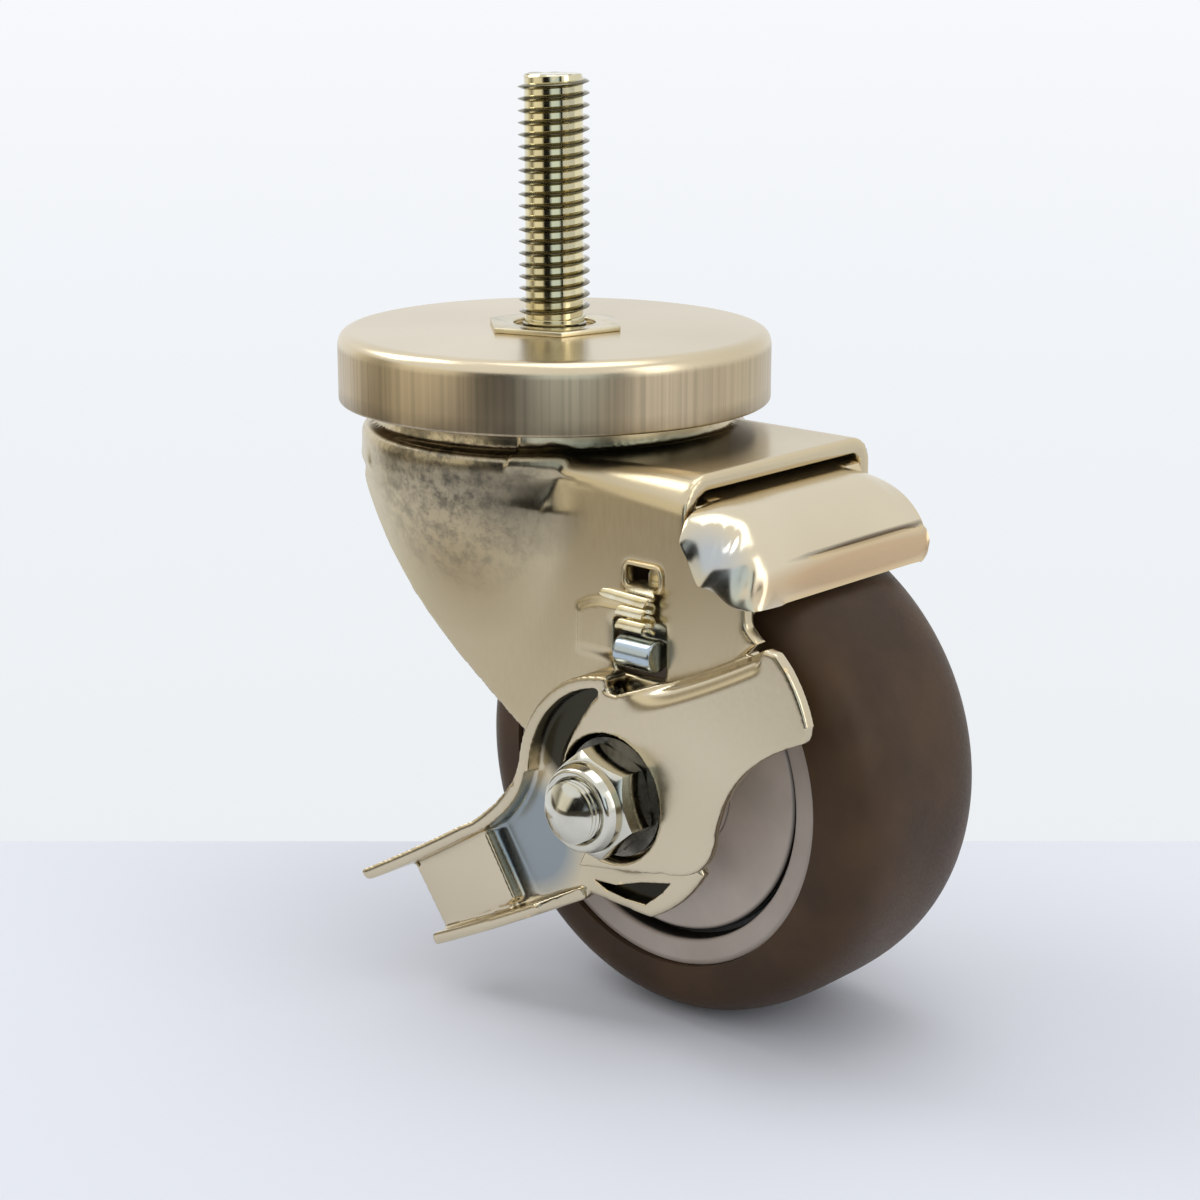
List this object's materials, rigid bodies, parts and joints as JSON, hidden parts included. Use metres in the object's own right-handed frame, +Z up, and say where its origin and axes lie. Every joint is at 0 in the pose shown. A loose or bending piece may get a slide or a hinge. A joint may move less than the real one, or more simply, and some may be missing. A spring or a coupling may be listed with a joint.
{
  "type": "stem castor",
  "caption": "Swivel stem castor with threaded stem, ball-bearing raceway, pressed steel fork, soft tread wheel and side lever brake.",
  "frame": {"origin": "on the swivel axis, at the top face of the raceway cap, where the furniture's leg sits", "axes": "+Z up the stem, +X towards the side the wheel trails to, -Y the side with the brake lever"},
  "size_m": [0.1078, 0.0718, 0.1397],
  "materials": {
    "yellow_zinc": "zinc plated, pale gold, bright",
    "plated_cap": "zinc plated, turned, warm satin",
    "plated_fork": "zinc plated pressed sheet, gold to green bright finish",
    "plated_lever": "zinc plated pressed sheet with gold cut edges",
    "bright_zinc": "bright zinc",
    "dark_steel": "dull steel with a film of grease",
    "ball_steel": "polished",
    "soft_tread": "satin thermoplastic rubber",
    "core_plastic": "satin moulded plastic",
    "cover_plastic": "satin moulded plastic",
    "bearing_plastic": "smooth moulded plastic"
  },
  "bodies": {
    "mount": {"threaded_stem": "yellow_zinc", "stem_washer": "yellow_zinc", "raceway_cap": "plated_cap", "lower_race_cup": "dark_steel"},
    "upper_ball_row": {"upper_balls": "ball_steel"},
    "lower_ball_row": {"lower_balls": "ball_steel"},
    "fork": {"fork": "plated_fork", "axle_bolt": "bright_zinc", "axle_washer": "bright_zinc", "axle_nut": "bright_zinc", "axle_sleeve": "dark_steel", "lever_bush": "dark_steel", "return_spring": "yellow_zinc"},
    "wheel": {"tread": "soft_tread", "wheel_core": "core_plastic", "near_bush": "bearing_plastic", "far_bush": "bearing_plastic", "near_hub_cover": "cover_plastic", "far_hub_cover": "cover_plastic"},
    "lever": {"brake_lever": "plated_lever"},
    "shoe": {"brake_shoe": "plated_lever"}
  },
  "joints": [
    {"name": "swivel", "type": "hinge", "parent": "mount", "child": "fork", "pos_m": [0, 0, -0.008], "axis": [0, 0, 1], "continuous": true},
    {"name": "upper_balls_turn", "type": "hinge", "parent": "mount", "child": "upper_ball_row", "pos_m": [0, 0, -0.0043], "axis": [0, 0, 1], "continuous": true},
    {"name": "lower_balls_turn", "type": "hinge", "parent": "mount", "child": "lower_ball_row", "pos_m": [0, 0, -0.0103], "axis": [0, 0, 1], "continuous": true},
    {"name": "wheel_spin", "type": "hinge", "parent": "fork", "child": "wheel", "pos_m": [0.0357, 0, -0.0627], "axis": [0, 1, 0], "continuous": true},
    {"name": "lever_turn", "type": "hinge", "parent": "fork", "child": "lever", "pos_m": [0.0357, -0.0235, -0.0627], "axis": [0, 1, 0], "range_deg": [-8, 0]},
    {"name": "shoe_turn", "type": "hinge", "parent": "fork", "child": "shoe", "pos_m": [0.04, 0, -0.021], "axis": [0, 1, 0], "range_deg": [0, 3.6]}
  ],
  "couplings": [
    {"joint": "upper_balls_turn", "follows": "swivel", "ratio": 0.5},
    {"joint": "lower_balls_turn", "follows": "swivel", "ratio": 0.5},
    {"joint": "shoe_turn", "follows": "lever_turn", "ratio": -0.45}
  ]
}
